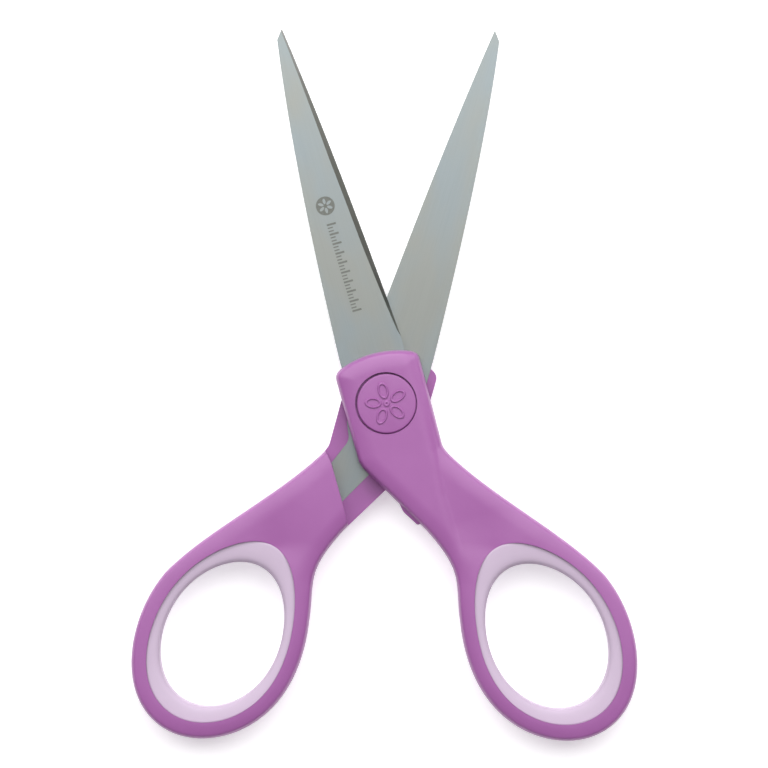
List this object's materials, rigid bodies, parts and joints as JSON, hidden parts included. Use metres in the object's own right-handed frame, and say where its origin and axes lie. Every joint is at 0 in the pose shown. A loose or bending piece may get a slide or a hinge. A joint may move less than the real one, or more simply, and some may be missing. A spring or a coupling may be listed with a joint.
{
  "type": "craft scissors",
  "caption": "Straight-bladed craft scissors lying open, with moulded finger-loop handles, soft finger linings, steel blades and a capped screw pivot.",
  "frame": {"origin": "where the pivot axis meets the flat face of the rear pivot cap, which is also the plane that the scissors lie on", "axes": "+Z along the pivot axis towards the front cap; +Y from the pivot towards the blade tips, midway between the open blades; +X to the side of the front handle's finger loop"},
  "size_m": [0.0924, 0.1299, 0.009],
  "materials": {
    "blade_steel": "finely ground, satin grey",
    "handle_plastic": "moulded orchid purple, satin",
    "grip_rubber": "soft lavender overmould, matt",
    "pivot_steel": "turned, bright",
    "washer_nylon": "natural nylon"
  },
  "bodies": {
    "rear_half": {"rear_blade": "blade_steel", "rear_handle": "handle_plastic", "rear_grip_lining": "grip_rubber", "rear_pivot_cap": "handle_plastic"},
    "front_half": {"front_blade": "blade_steel", "front_handle": "handle_plastic", "front_grip_lining": "grip_rubber", "front_pivot_cap": "handle_plastic", "pivot_screw": "pivot_steel", "pivot_nut": "pivot_steel", "front_washer": "washer_nylon", "rear_washer": "washer_nylon"}
  },
  "joints": [
    {"name": "pivot", "type": "hinge", "parent": "rear_half", "child": "front_half", "pos_m": [0, 0, 0.0045], "axis": [0, 0, 1], "range_deg": [-31.8, 84]}
  ]
}
